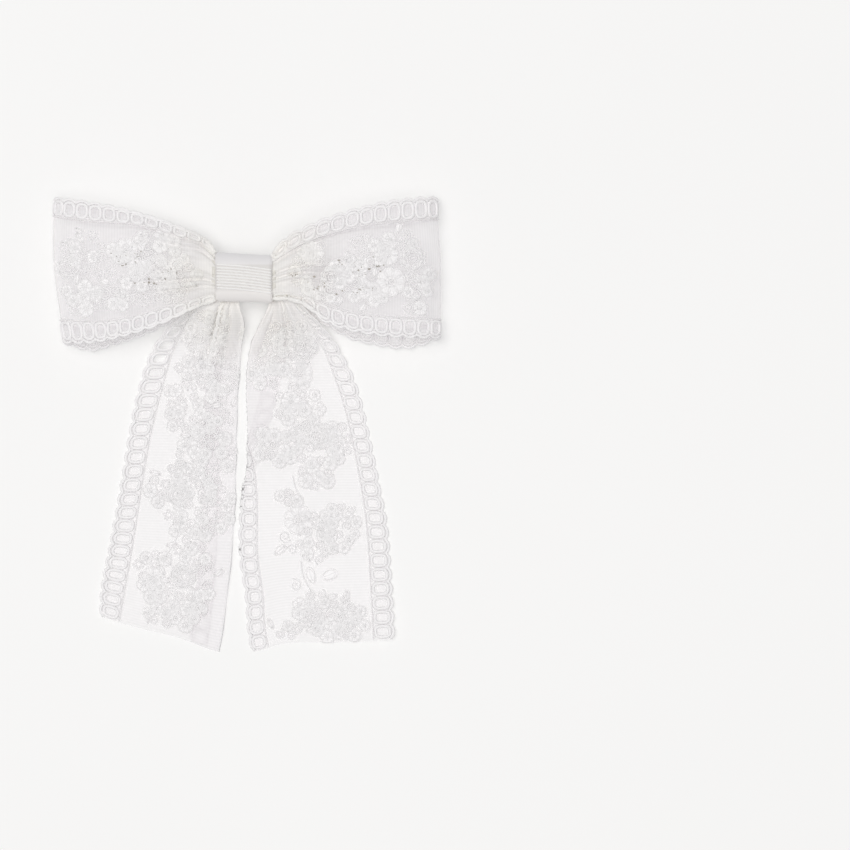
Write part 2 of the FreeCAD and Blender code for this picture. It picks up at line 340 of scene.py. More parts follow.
def left_tail_shape():
    outer = [(-2.0, -9.4), (-6.0, -12.0), (-10.2, -17.4), (-15.1, -22.7), (-18.3, -25.5),
             (-22.2, -27.7), (-30.9, -30.8), (-40.0, -32.9), (-56.7, -35.7), (-77.9, -39.4),
             (-97.0, -42.1), (-103.0, -42.2)]
    cord = [(-2.0, -8.8), (-6.0, -11.0), (-10.2, -15.4), (-16.5, -19.4), (-22.2, -21.9),
            (-30.6, -24.2), (-43.5, -27.5), (-60.0, -30.4), (-76.8, -32.9), (-103.0, -37.0)]
    inner = [(-2.0, -1.4), (-8.4, -1.4), (-12.3, -0.3), (-20.0, -1.1), (-33.1, -2.2), (-43.8, -2.5),
             (-70.2, -3.3), (-82.8, -4.5), (-98.0, -6.7), (-103.0, -7.6)]
    hidden = [(-2.0, 13.0), (-30.0, 12.0), (-60.0, 10.5), (-103.0, 9.0)]
    slant = [(-43.0, 5.6), (-30.3, 1.8), (-18.9, -1.2), (-8.8, -5.0), (0.0, -6.0)]
    return Tail(-1, outer, cord, inner, fall_line(-103.0), hidden, slant, 0.6)


def right_tail_shape():
    outer = [(-2.0, 9.6), (-5.0, 13.4), (-9.0, 17.6), (-14.4, 22.8), (-18.3, 25.8), (-22.2, 27.9),
             (-27.0, 30.3), (-33.1, 32.5), (-45.2, 35.5), (-61.2, 38.7), (-68.4, 40.2),
             (-85.8, 41.8), (-105.0, 42.8)]
    cord = [(-2.0, 8.9), (-5.0, 12.2), (-9.0, 15.6), (-14.4, 19.6), (-20.0, 22.4), (-25.7, 24.6),
            (-36.8, 28.3), (-50.2, 31.4), (-70.2, 34.7), (-88.5, 36.0), (-105.0, 36.9)]
    inner = [(-2.0, 6.9), (-8.4, 6.4), (-12.3, 4.4), (-18.0, 1.5), (-22.9, 0.4), (-30.6, -0.2),
             (-43.5, 0.2), (-55.0, -0.1), (-62.0, -1.2), (-71.3, -1.9), (-80.9, -1.6),
             (-88.5, -0.3), (-101.8, 1.0), (-105.0, 1.8)]
    hidden = [(-2.0, 15.0), (-25.0, 12.0), (-48.0, 5.0), (-62.0, 0.6), (-80.0, 0.0), (-105.0, 0.0)]
    slant = [(-2.0, -3.4), (2.8, -3.0), (9.6, -0.9), (26.2, -0.2), (42.8, 0.6)]
    return Tail(1, outer, cord, inner, fall_line(-105.0), hidden, slant, 1.9)


# -------- meshes

def put_in_scene(thing):
    bpy.context.scene.collection.objects.link(thing)


class Sheaf:
    """Vertices and faces gathered from many small shapes, written as one mesh."""

    def __init__(self):
        self.parts = []
        self.faces = []
        self.count = 0

    def add(self, points, faces):
        self.parts.append(points)
        self.faces.extend([[i + self.count for i in face] for face in faces])
        self.count += len(points)

    def write(self, name, material, flat=None):
        """The mesh, in metres. flat says where each point is on the ribbon laid flat."""
        points = np.vstack(self.parts) * MM
        mesh = bpy.data.meshes.new(name)
        mesh.from_pydata(points.tolist(), [], self.faces)
        mesh.validate()
        mesh.update()
        if flat is not None:
            store = mesh.attributes.new("flat", "FLOAT_VECTOR", "POINT")
            store.data.foreach_set("vector", np.asarray(flat, np.float32).ravel())
        for polygon in mesh.polygons:
            polygon.use_smooth = True
        piece = bpy.data.objects.new(name, mesh)
        put_in_scene(piece)
        mesh.materials.append(material)
        return piece


def grid_faces(rows, columns, wrap_rows=False, wrap_columns=False):
    faces = []
    for i in range(rows if wrap_rows else rows - 1):
        for j in range(columns if wrap_columns else columns - 1):
            a, b = i * columns + j, i * columns + (j + 1) % columns
            c, d = ((i + 1) % rows) * columns + (j + 1) % columns, ((i + 1) % rows) * columns + j
            faces.append((a, b, c, d))
    return faces


def end_caps(rows, columns):
    first = tuple(reversed(range(columns)))
    return [first, tuple(range((rows - 1) * columns, rows * columns))]


def tube(sheaf, ribbon, u, v, lift, radius, sides, closed=False, flatten=0.75):
    """A round thread that follows the flat path (u, v) on a ribbon."""
    count = len(u)
    normal = ribbon.normal(u, v)
    centre = ribbon.at(u, v) + normal * np.broadcast_to(lift, (count,)).reshape(-1, 1)
    if closed:
        along = np.roll(centre, -1, axis=0) - np.roll(centre, 1, axis=0)
    else:
        along = np.gradient(centre, axis=0)
    sideways = unit(np.cross(normal, unit(along)))
    radius = np.broadcast_to(radius, (count,)).reshape(-1, 1, 1)
    turn = full_circle(sides)
    ring = np.cos(turn)[None, :, None] * sideways[:, None, :]
    ring = ring + flatten * np.sin(turn)[None, :, None] * normal[:, None, :]
    points = (centre[:, None, :] + radius * ring).reshape(-1, 3)
    faces = grid_faces(count, sides, wrap_rows=closed, wrap_columns=True)
    if not closed:
        faces += end_caps(count, sides)
    sheaf.add(points, faces)


def dome(sheaf, ribbon, u, v, height):
    """A raised patch: rings of flat points (u, v) from the rim in to the middle, each as
    high above the ribbon as height says. The rim lies on the cloth."""
    rings, around = u.shape
    points = ribbon.lifted(u.ravel(), v.ravel(), height.ravel())
    faces = grid_faces(rings, around, wrap_columns=True)
    faces.append(tuple(range((rings - 1) * around, rings * around)))
    sheaf.add(points, faces)


# -------- materials

def new_material(name):
    material = bpy.data.materials.new(name)
    material.use_nodes = True
    shader = material.node_tree.nodes["Principled BSDF"]
    return material, material.node_tree, shader


def node(tree, kind, **values):
    made = tree.nodes.new("ShaderNode" + kind)
    for key, value in values.items():
        setattr(made, key, value)
    return made


def set_inputs(made, values):
    for key, value in values.items():
        made.inputs[key].default_value = value


def link(tree, source, target):
    tree.links.new(source, target)


def calc(tree, operation, first, second=None):
    """A sum, product or the like of numbers and sockets."""
    made = node(tree, "Math", operation=operation)
    for slot, value in enumerate((first, second)):
        if value is None:
            continue
        if isinstance(value, (int, float)):
            made.inputs[slot].default_value = value
        else:
            link(tree, value, made.inputs[slot])
    return made.outputs[0]


def ramp(tree, source, stops):
    """Colours between stops, each a place from 0 to 1 and a colour."""
    made = node(tree, "ValToRGB")
    elements = made.color_ramp.elements
    while len(elements) < len(stops):
        elements.new(0.5)
    for element, (place, colour) in zip(elements, stops):
        element.position = place
        element.color = (*colour, 1.0)
    link(tree, source, made.inputs["Fac"])
    return made.outputs["Color"]


def place_on_object(tree):
    return node(tree, "TexCoord").outputs["Object"]


def noise_over(tree, place, scale, detail=2.0):
    """Soft random blotches, as large as one over the scale, in metres."""
    noise = node(tree, "TexNoise")
    set_inputs(noise, {"Scale": scale, "Detail": detail})
    link(tree, place, noise.inputs["Vector"])
    return noise.outputs["Fac"]


def axes(tree, vector):
    """The X, Y and Z sockets of a vector."""
    split = node(tree, "SeparateXYZ")
    link(tree, vector, split.inputs[0])
    return split.outputs


def knot_distance(tree):
    """How far a point is from the knot's axis, in millimetres, seen from the front."""
    place = axes(tree, place_on_object(tree))
    across = calc(tree, "MULTIPLY", place["X"], place["X"])
    up = calc(tree, "MULTIPLY", place["Y"], place["Y"])
    length = calc(tree, "SQRT", calc(tree, "ADD", across, up))
    return calc(tree, "MULTIPLY", length, 1 / MM)


def knot_cream_and_shade(tree, near, far):
    """Cream where the cloth is bunched at the knot, cooler white further out. The darker, duller
    cream at the knot is partly the cloth's own tint and partly painted shade of the deep gathers.
    """
    share = calc(tree, "DIVIDE", knot_distance(tree), 60.0)
    return ramp(tree, share, [(0.14, near), (0.46, far)])


def mottled(tree, colour, scale, low, high):
    """The colour with slight soft blotches."""
    blotches = noise_over(tree, place_on_object(tree), scale, 3.0)
    shade = ramp(tree, blotches, [(0.3, (low,) * 3), (0.7, (high,) * 3)])
    mixed = node(tree, "Mix", data_type="RGBA", blend_type="MULTIPLY")
    mixed.inputs["Factor"].default_value = 1.0
    link(tree, colour, mixed.inputs["A"])
    link(tree, shade, mixed.inputs["B"])
    return mixed.outputs["Result"]


def bumped(tree, shader, height, depth_mm, strength=1.0):
    bump = node(tree, "Bump")
    set_inputs(bump, {"Strength": strength, "Distance": depth_mm * MM})
    link(tree, height, bump.inputs["Height"])
    link(tree, bump.outputs["Normal"], shader.inputs["Normal"])


def let_light_through(tree, shader, colour, share):
    """Part of the light that falls on fine yarn comes out on its other side."""
    behind = node(tree, "BsdfTranslucent")
    link(tree, colour, behind.inputs["Color"])
    both = node(tree, "MixShader")
    both.inputs["Fac"].default_value = share
    link(tree, shader.outputs["BSDF"], both.inputs[1])
    link(tree, behind.outputs["BSDF"], both.inputs[2])
    link(tree, both.outputs["Shader"], tree.nodes["Material Output"].inputs["Surface"])


def wave(tree, coordinate, pitch_mm):
    """Stripes between 0 and 1, one for each pitch of a coordinate in metres."""
    turn = calc(tree, "MULTIPLY", coordinate, TURN / (pitch_mm * MM))
    swing = calc(tree, "SINE", turn)
    return calc(tree, "ADD", calc(tree, "MULTIPLY", swing, 0.5), 0.5)


def organza_material():
    """Sheer ribbon: fine cross ribs, a crossing yarn, and a closer net inside the edging.
    The Z of the flat place says how far that net is left open."""
    material, tree, shader = new_material("organza")
    attribute = node(tree, "Attribute", attribute_name="flat")
    flat = axes(tree, attribute.outputs["Vector"])
    ribs = wave(tree, flat["X"], RIB_PITCH)
    yarn = wave(tree, flat["Y"], RIB_PITCH * 0.45)
    weave = calc(tree, "ADD", calc(tree, "MULTIPLY", ribs, 0.035),
                 calc(tree, "MULTIPLY", yarn, 0.03))
    side = calc(tree, "ABSOLUTE", flat["Y"])
    in_edging = calc(tree, "GREATER_THAN", side, CORD * MM)
    bunched = node(tree, "MapRange", interpolation_type="SMOOTHSTEP")
    set_inputs(bunched, {"From Min": 10.0, "From Max": 28.0, "To Min": 0.45, "To Max": 0.0})
    link(tree, knot_distance(tree), bunched.inputs["Value"])
    body = calc(tree, "ADD", calc(tree, "ADD", weave, 0.33), bunched.outputs["Result"])
    net = calc(tree, "MULTIPLY", in_edging, calc(tree, "SUBTRACT", 0.10, flat["Z"]))
    link(tree, calc(tree, "ADD", body, net), shader.inputs["Alpha"])
    # The near colour is darker than the far one: partly the cloth's cream and partly painted shade
    # of the folds bunched at the knot.
    colour = knot_cream_and_shade(tree, (0.93, 0.915, 0.893), (0.955, 0.935, 0.95))
    link(tree, mottled(tree, colour, 60.0, 0.98, 1.0), shader.inputs["Base Color"])
    set_inputs(shader, {"Roughness": 0.75, "Sheen Weight": 0.15})
    bumped(tree, shader, weave, 0.02)
    return material


def thread_material(name, near, far, pitch_mm, roughness):
    """Embroidery or cord yarn: satin threads laid side by side."""
    material, tree, shader = new_material(name)
    band = 0.314    # the bands of a wave texture of scale 1 are about this wide
    threads = node(tree, "TexWave", wave_type="BANDS", bands_direction="DIAGONAL")
    set_inputs(threads, {"Scale": band / (pitch_mm * MM), "Distortion": 3.0, "Detail": 2.0})
    link(tree, place_on_object(tree), threads.inputs["Vector"])
    colour = mottled(tree, knot_cream_and_shade(tree, near, far), 1100.0, 0.965, 1.0)
    link(tree, colour, shader.inputs["Base Color"])
    set_inputs(shader, {"Roughness": roughness, "Sheen Weight": 0.25})
    bumped(tree, shader, threads.outputs["Fac"], 0.012)
    let_light_through(tree, shader, colour, 0.12)
    return material


def plain_thread(name, colour, pitch_mm, roughness):
    return thread_material(name, colour, colour, pitch_mm, roughness)


def grosgrain_material():
    """The wrap's ribbon: satin borders and, between the ribs, a darker middle that is painted shade
    of the grooves.
    """
    material, tree, shader = new_material("grosgrain")
    place = place_on_object(tree)
    warp = calc(tree, "MULTIPLY", wave(tree, axes(tree, place)["X"], 0.28), 0.3)
    height = calc(tree, "ADD", warp, noise_over(tree, place, 900.0))
    tone = calc(tree, "MULTIPLY", axes(tree, place)["Y"], 1 / (WRAP_HALF_Y * MM))
    tone = calc(tree, "ADD", calc(tree, "MULTIPLY", tone, 0.5), 0.5)
    # painted shade: the grooves between the raised ribs are coloured darker than the satin borders.
    groove_shade = (0.70, 0.68, 0.665)
    colour = ramp(tree, tone, [(0.0, (0.84, 0.815, 0.80)), (0.20, (0.86, 0.835, 0.82)),
                               (0.28, groove_shade), (0.74, groove_shade),
                               (0.78, (0.80, 0.785, 0.79)), (1.0, (0.76, 0.75, 0.76))])
    link(tree, mottled(tree, colour, 90.0, 0.97, 1.0), shader.inputs["Base Color"])
    set_inputs(shader, {"Roughness": 0.42, "Sheen Weight": 0.2})
    bumped(tree, shader, height, 0.01, 0.4)
    return material


def steel_material(name, colour, scratch_scale):
    """Nickel plate with fine drawing lines along the sheet and a few dull patches."""
    material, tree, shader = new_material(name)
    stretch = node(tree, "Mapping")
    stretch.inputs["Scale"].default_value = (0.06, 1.0, 1.0)
    link(tree, place_on_object(tree), stretch.inputs["Vector"])
    lines = noise_over(tree, stretch.outputs["Vector"], scratch_scale, 5.0)
    rough = node(tree, "MapRange")
    set_inputs(rough, {"To Min": 0.22, "To Max": 0.42})
    link(tree, lines, rough.inputs["Value"])
    link(tree, rough.outputs["Result"], shader.inputs["Roughness"])
    base = ramp(tree, lines, [(0.3, tuple(c * 0.9 for c in colour)), (0.7, colour)])
    link(tree, base, shader.inputs["Base Color"])
    shader.inputs["Metallic"].default_value = 1.0
    bumped(tree, shader, lines, 0.02, 0.5)
    return material


def glue_material():
    material, tree, shader = new_material("hot_glue")
    cloud = noise_over(tree, place_on_object(tree), 300.0)
    colour = ramp(tree, cloud, [(0.35, (0.82, 0.80, 0.72)), (0.65, (0.90, 0.88, 0.82))])
    link(tree, colour, shader.inputs["Base Color"])
    set_inputs(shader, {"Roughness": 0.25, "Subsurface Weight": 0.3,
                        "Subsurface Radius": (0.0010, 0.0010, 0.0008)})
    bumped(tree, shader, cloud, 0.1, 0.5)
    return material


def floor_material():
    """A pale table lit softly from beneath, as for a shadowless product picture."""
    material, tree, shader = new_material("pale_floor")
    patches = noise_over(tree, place_on_object(tree), 6.0)
    colour = ramp(tree, patches, [(0.3, (0.635,) * 3), (0.7, (0.645,) * 3)])
    link(tree, colour, shader.inputs["Base Color"])
    set_inputs(shader, {"Roughness": 0.9, "Specular IOR Level": 0.1, "Emission Strength": 0.297,
                        "Emission Color": (1.0, 0.993, 0.975, 1.0)})
    return material


# -------- the lace ribbon's parts

def cloth_sheet(name, ribbon, material, open_net=0.0):
    """The organza itself, scalloped lightly along both sides. open_net is how far along
    the ribbon the net inside the edging's rings is left open."""
    rows, columns = int(ribbon.length / 0.75), 76
    u = np.linspace(0, ribbon.length, rows)
    v = np.linspace(-HALF, HALF, columns)
    along, across = np.meshgrid(u, v, indexing="ij")
    scallop = 0.75 - 0.55 * np.abs(np.sin(math.pi * along / RING_PITCH))
    limit = HALF - scallop
    across = np.clip(across, -limit, limit)
    sheaf = Sheaf()
    sheaf.add(ribbon.at(along.ravel(), across.ravel()), grid_faces(rows, columns))
    opened = 0.4 * (1 - ease(along.ravel(), open_net - 3, open_net + 3)) * (open_net > 0)
    flat = np.column_stack([along.ravel() * MM, across.ravel() * MM, opened])
    return sheaf.write(name, material, flat)


def ring(sheaf, ribbon, u_mid, v_mid, half_u, half_v, radius, lift):
    """One oval ring of the edging, squarer than an ellipse."""
    turn = full_circle(22)
    corner = 0.66
    u = u_mid + half_u * np.sign(np.cos(turn)) * np.abs(np.cos(turn))**corner
    v = v_mid + half_v * np.sign(np.sin(turn)) * np.abs(np.sin(turn))**corner
    tube(sheaf, ribbon, u, v, lift, radius, closed=True, sides=6)


def edging(name, ribbon, side, span, material):
    """The picot edging of one side: a row of rings between the cord and a scalloped rim."""
    sheaf = Sheaf()
    u_from, u_to = span
    count = int((u_to - u_from) / RING_PITCH)
    pitch = (u_to - u_from) / count
    for index in range(count):
        u_mid = u_from + (index + 0.5) * pitch
        ring(sheaf, ribbon, u_mid, side * (CORD + 2.35), half_u=0.39 * pitch, half_v=1.8,
             radius=0.46, lift=0.1)
    u = np.linspace(u_from, u_to, count * 12)
    swing = np.abs(np.sin(math.pi * (u - u_from) / pitch))**0.75
    v = side * (HALF - 0.85 + 0.85 * swing)
    knots = 0.40 + 0.08 * np.cos(TURN * (u - u_from) / (pitch / 4))
    tube(sheaf, ribbon, u, v, THREAD_LIFT, knots, sides=6)
    return sheaf.write(name, material)


def cord(name, ribbon, side, span, material):
    """The two-ply cord sewn where the organza meets the edging."""
    u = np.linspace(*span, int((span[1] - span[0]) / 0.22))
    sheaf = Sheaf()
    for ply in (0, math.pi):
        turn = TURN * u / 1.1 + ply
        v = side * CORD + 0.1 * np.sin(turn)
        lift = THREAD_LIFT + 0.1 * np.cos(turn)
        tube(sheaf, ribbon, u, v, lift, 0.14, sides=5, flatten=1.0)
    return sheaf.write(name, material)


class Needle:
    """Draws embroidery on a ribbon, at places seen from the front."""

    def __init__(self, ribbon, seed):
        self.ribbon = ribbon
        self.sheaf = Sheaf()
        self.dice = random.Random(seed)

    def thread(self, x, y, radius, lift, closed=False):
        u, v = self.ribbon.flat_place(x, y)
        v = np.clip(v, -SEWN, SEWN)
        tube(self.sheaf, self.ribbon, u, v, lift, radius, closed=closed, sides=5, flatten=0.85)

    def petal(self, x, y, turn, length, width, height=0.14):
        """A satin-stitched petal from (x, y) outwards, with a raised outline."""
        around = full_circle(14)
        out = 0.5 * length * (1 - np.cos(around))
        side = 0.5 * width * np.sin(around) * (0.75 + 0.35 * out / length)
        shrink = np.array([1.0, 0.72, 0.4, 0.12])
        middle = 0.55 * length
        out_ring = middle + (out - middle) * shrink[:, None]
        side_ring = side * shrink[:, None]
        rise = height * np.array([0.0, 0.62, 0.9, 1.0])[:, None] + 0 * out_ring
        px, py = out_from(x, y, turn, out_ring, side_ring)
        u, v = self.ribbon.flat_place(px.ravel(), py.ravel())
        v = np.clip(v, -SEWN, SEWN)
        dome(self.sheaf, self.ribbon, u.reshape(px.shape), v.reshape(px.shape), rise)
        self.thread(px[0], py[0], 0.13, 0.09, closed=True)
        for share in (-0.4, 0.0, 0.4):
            t = np.linspace(0.12, 0.9, 6) * length
            drift = share * width * np.sin(math.pi * t / length)
            self.thread(*out_from(x, y, turn, t, drift), 0.09, height)

    def blossom(self, x, y, r, petals, turn):
        for index in range(petals):
            angle = turn + TURN * index / petals
            width = min(2.1 * r * math.sin(math.pi / petals), 0.95 * r)
            self.petal(*out_from(x, y, angle, 0.22 * r), angle, 0.8 * r, width)
        self.curl(x, y, 0.24 * r, 1.6, turn)

    def curl(self, x, y, r, turns, turn):
        t = np.linspace(0, 1, int(14 * turns))
        angle = turn + TURN * turns * t
        reach = r * (0.15 + 0.85 * t)
        self.thread(x + reach * np.cos(angle), y + reach * np.sin(angle), 0.2, 0.24)

    def ring(self, x, y, r):
        angle = full_circle(18)
        self.thread(x + r * np.cos(angle), y + r * np.sin(angle), 0.22, 0.22, closed=True)

    def berries(self, x, y, reach, turn):
        fifth = 1.26    # about a fifth of a turn
        for index in range(5):
            angle = turn + fifth * index
            self.ring(*out_from(x, y, angle, reach), 0.42)

    def rose(self, x, y, r):
        """Rows of stitches wound round a middle, with a wavy outer row."""
        for row, share in enumerate((0.28, 0.52, 0.78, 1.0)):
            angle = full_circle(26 + 6 * row)
            wavy = r * share * (1 + 0.07 * np.cos((5 + row) * angle + row))
            lift = 0.26 - 0.05 * row
            self.thread(x + wavy * np.cos(angle), y + wavy * np.sin(angle), 0.2, lift, closed=True)
        for index in range(9):
            angle = TURN * index / 9
            self.petal(*out_from(x, y, angle, 0.5 * r), angle, 0.5 * r, 0.36 * r, 0.2)

    def leaf(self, x, y, turn, length, width):
        self.petal(x, y, turn, length, width, 0.2)
        t = np.linspace(0.05, 0.95, 8)
        self.thread(*out_from(x, y, turn, length * t), 0.14, 0.36)

    def stem(self, points):
        curve, _ = path_through(points, 30)
        self.thread(curve[:, 0], curve[:, 1], 0.2, 0.18)

    def sprays(self, patches):
        for patch in patches:
            self.spray(*patch)

    def spray(self, x, y, half_x, half_y, spacing, tilt=0.0):
        """A dense patch of small flowers, curls, leaves and berries inside an ellipse."""
        kept = []
        for _ in range(1500):
            a = self.dice.uniform(-1, 1)
            b = self.dice.uniform(-1, 1)
            if a * a + b * b > 1:
                continue
            px, py = out_from(x, y, tilt, half_x * a, half_y * b)
            if all((px - qx)**2 + (py - qy)**2 > spacing**2 for qx, qy in kept):
                kept.append((px, py))
        for px, py in kept:
            kind = self.dice.random()
            turn = self.dice.uniform(0, TURN)
            if kind < 0.48:
                size = self.dice.uniform(0.62, 0.85) * spacing
                self.blossom(px, py, size, self.dice.choice((5, 6, 7)), turn)
            elif kind < 0.72:
                self.curl(px, py, 0.62 * spacing, self.dice.uniform(1.3, 2.2), turn)
            elif kind < 0.88:
                self.leaf(px, py, turn, 1.3 * spacing, 0.6 * spacing)
            else:
                self.berries(px, py, 0.42 * spacing, turn)


def painted_shade_specks(name, ribbon, places, material):
    """Dark brown-grey dots between bunched flowers: painted shade standing in for the dark inside
    of the gathers, seen through small gaps between the stitches.
    Each place is x, y, how far the dots scatter along and across, and how many."""
    dice = random.Random(SEED + len(name))
    sheaf = Sheaf()
    around = full_circle(8)
    shrink = np.array([1.0, 0.6])[:, None]
    rise = np.array([0.05, 0.2])[:, None] + 0 * around
    for x, y, spread_x, spread_y, count in places:
        for _ in range(count):
            px, py = dice.gauss(x, spread_x), dice.gauss(y, spread_y)
            long, wide = dice.uniform(0.2, 0.5), dice.uniform(0.15, 0.3)
            x_rings = px + shrink * long * np.cos(around)
            y_rings = py + shrink * wide * np.sin(around)
            u, v = ribbon.flat_place(x_rings, y_rings)
            dome(sheaf, ribbon, u, v, rise)
    return sheaf.write(name, material)


def embroider_left_loop(ribbon, material):
    needle = Needle(ribbon, SEED + 1)
    needle.rose(-24.8, 3.0, 3.5)
    needle.blossom(-33.9, 7.8, 3.3, 7, 0.3)
    needle.rose(-50.4, 3.0, 3.3)
    needle.ring(-19.3, 3.5, 1.5)
    needle.curl(-19.3, 3.5, 1.0, 1.6, 0.4)
    needle.blossom(-29.4, 11.0, 2.2, 6, 0.8)
    needle.blossom(-30.8, 1.2, 2.4, 6, 0.1)
    needle.stem([(-45.5, -4.6), (-41.5, -3.4), (-38.0, -1.8), (-34.8, 0.6)])
    needle.leaf(-38.5, -2.0, 2.6, 3.6, 1.9)
    needle.sprays([
        (-27.0, 7.6, 8.0, 4.6, 2.7, 0.15), (-29.0, -3.0, 8.5, 3.6, 2.8, 0.1),
        (-40.0, 4.0, 5.0, 4.8, 2.9), (-17.0, 0.5, 4.6, 4.6, 2.6), (-46.5, -5.6, 5.4, 4.4, 2.7),
        (-46.5, 8.6, 5.6, 4.2, 2.8), (-38.0, -6.2, 5.4, 3.0, 2.7),
        (-20.5, -4.6, 4.6, 2.4, 2.5, -0.3),
    ])
    return needle.sheaf.write("left_loop_embroidery", material)


def embroider_right_loop(ribbon, material):
    needle = Needle(ribbon, SEED + 2)
    needle.blossom(42.0, -1.2, 4.1, 8, 0.2)
    needle.rose(48.3, 5.5, 3.5)
    needle.blossom(41.3, 6.4, 2.8, 6, 0.5)
    needle.rose(24.9, 0.0, 2.9)
    needle.blossom(19.3, 7.0, 3.4, 7, 0.0)
    needle.sprays([
        (31.5, 1.0, 6.4, 4.6, 2.5), (17.8, 5.4, 5.6, 3.4, 2.6, 0.4), (44.5, 9.6, 5.0, 3.2, 2.7),
        (48.6, -4.6, 3.4, 4.8, 2.8), (20.0, -3.2, 6.0, 2.0, 2.4, -0.4), (34.0, -5.2, 6.6, 2.2, 2.5),
        (34.5, 7.6, 6.4, 3.4, 2.6), (50.0, -0.6, 3.6, 4.6, 2.6),
    ])
    return needle.sheaf.write("right_loop_embroidery", material)


def embroider_left_tail(ribbon, material):
    needle = Needle(ribbon, SEED + 3)
    needle.blossom(-22.5, -32.4, 1.6, 5, 0.3)
    needle.rose(-19.3, -62.4, 3.6)
    needle.blossom(-27.1, -86.7, 3.4, 7, 0.2)
    needle.rose(-18.1, -86.3, 3.3)
    needle.curl(-27.0, -99.0, 1.7, 1.5, 0.5)
    needle.stem([(-19.0, -70.0), (-20.5, -75.5), (-23.5, -80.5)])
    needle.stem([(-12.5, -56.0), (-10.8, -60.0), (-10.0, -65.0)])
    needle.sprays([
        (-9.5, -17.0, 8.0, 7.0, 2.6), (-6.5, -27.5, 4.8, 6.0, 2.3), (-15.5, -25.5, 4.4, 4.4, 2.6),
        (-13.5, -37.5, 9.4, 9.6, 2.5), (-12.0, -50.5, 8.4, 6.5, 2.6), (-19.0, -61.0, 9.4, 8.0, 2.6),
        (-8.8, -66.0, 5.0, 8.0, 2.5), (-17.0, -73.0, 5.6, 4.4, 2.6), (-26.5, -86.0, 5.4, 7.0, 2.6),
        (-16.0, -86.0, 6.8, 9.4, 2.6), (-20.5, -97.5, 9.0, 3.0, 2.6),
    ])
    return needle.sheaf.write("left_tail_embroidery", material)


def embroider_right_tail(ribbon, material):
    needle = Needle(ribbon, SEED + 4)
    needle.rose(17.3, -19.4, 3.4)
    needle.blossom(15.5, -27.6, 3.6, 7, 0.4)
    needle.blossom(12.9, -35.4, 3.0, 6, 0.1)
    needle.rose(21.6, -45.6, 3.7)
    needle.blossom(26.5, -48.4, 2.8, 6, 0.9)
    needle.ring(5.4, -50.3, 1.9)
    needle.curl(5.4, -50.3, 1.3, 1.6, 1.0)
    needle.stem([(13.4, -57.0), (14.2, -60.5), (16.0, -63.8)])
    needle.blossom(15.2, -69.8, 4.2, 8, 0.3)
    needle.curl(11.2, -74.6, 1.9, 1.6, 2.0)
    needle.curl(13.2, -78.4, 1.6, 1.4, 0.4)
    needle.leaf(8.2, -79.8, 0.7, 4.0, 2.2)
    needle.stem([(15.8, -81.8), (16.4, -86.0), (18.6, -90.2)])
    needle.petal(22.0, -86.6, 0.4, 4.6, 3.0, 0.2)
    needle.petal(19.4, -88.0, 1.9, 4.6, 2.6, 0.2)
    needle.curl(14.2, -88.7, 1.9, 1.3, 0.0)
    needle.rose(19.4, -98.0, 3.2)
    needle.sprays([
        (12.0, -20.0, 8.4, 7.4, 2.6), (5.0, -27.0, 4.0, 5.0, 2.6),
        (15.5, -36.5, 6.6, 6.4, 2.6, 0.2), (21.6, -47.4, 8.4, 6.8, 2.6),
        (8.8, -48.6, 6.2, 4.6, 2.6), (20.0, -56.6, 4.6, 3.2, 2.7), (12.0, -64.0, 2.8, 2.8, 2.5),
        (27.0, -71.5, 5.6, 7.2, 2.3), (20.0, -75.0, 5.6, 7.4, 2.4), (22.5, -97.6, 9.0, 6.8, 2.5),
        (30.0, -98.6, 4.6, 6.2, 2.4), (11.4, -102.0, 4.0, 1.8, 2.4),
    ])
    return needle.sheaf.write("right_tail_embroidery", material)


# -------- the knot

def wire(sheaf, points, radius):
    """A round wire through dense points."""
    sides = 10
    along = unit(np.gradient(points, axis=0))
    side = np.cross(along[0], (0.3, 0.2, 1.0))
    turn = full_circle(sides)
    rings = []
    for place, direction in zip(points, along):
        side = side - direction * np.dot(side, direction)
        side /= np.linalg.norm(side)
        other = np.cross(direction, side)
        ring = np.outer(np.cos(turn), side) + np.outer(np.sin(turn), other)
        rings.append(place + radius * ring)
    faces = grid_faces(len(points), sides, wrap_columns=True) + end_caps(len(points), sides)
    sheaf.add(np.vstack(rings), faces)


def wrap_half_y(x):
    """Half the wrap's height at x: most at its left end, least right of its middle."""
    return WRAP_HALF_Y - 0.1 - 0.16 * math.sin(0.21 * (x + 4))


def wrap_front(x, y):
    """How high the wrap's front is above its middle, at (x, y)."""
    share = min(abs(y + WRAP_TILT * x) / wrap_half_y(x), 1)**1.25
    return WRAP_FRONT * math.sqrt(1 - share**2)**0.75


def make_wrap(material):
    """A short ribbon wound once round the knot, turned in along both of its edges."""
    columns, around, thick = 40, 180, 0.55
    x = np.linspace(WRAP_LOW[0], WRAP_HIGH[0], columns)
    turn = full_circle(around)
    cos, sin = np.cos(turn), np.sin(turn)
    edge = np.minimum(x - x[0], x[-1] - x)
    tuck = thick * (1 - np.minimum(edge / 0.8, 1))**2
    skins = []
    for depth in (0.0, thick):
        points = np.zeros((columns, around, 3))
        for index, place in enumerate(x):
            shrink = depth if depth else tuck[index]
            y = (wrap_half_y(place) - shrink) * np.sign(cos) * np.abs(cos)**0.8 - WRAP_TILT * place
            z = (WRAP_FRONT - shrink) * np.sign(sin) * np.abs(sin)**0.75
            points[index] = np.column_stack([0 * y + place, y, KNOT_Z + z])
        skins.append(points)
    sheaf = Sheaf()
    for points in skins:
        sheaf.add(points.reshape(-1, 3), grid_faces(columns, around, wrap_columns=True))
    for end in (0, columns - 1):
        loop = np.vstack([skins[0][end], skins[1][end]])
        sheaf.add(loop, grid_faces(2, around, wrap_columns=True))
    piece = sheaf.write("centre_wrap_ribbon", material)
    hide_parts("centre_wrap")
    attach(piece, "bow")


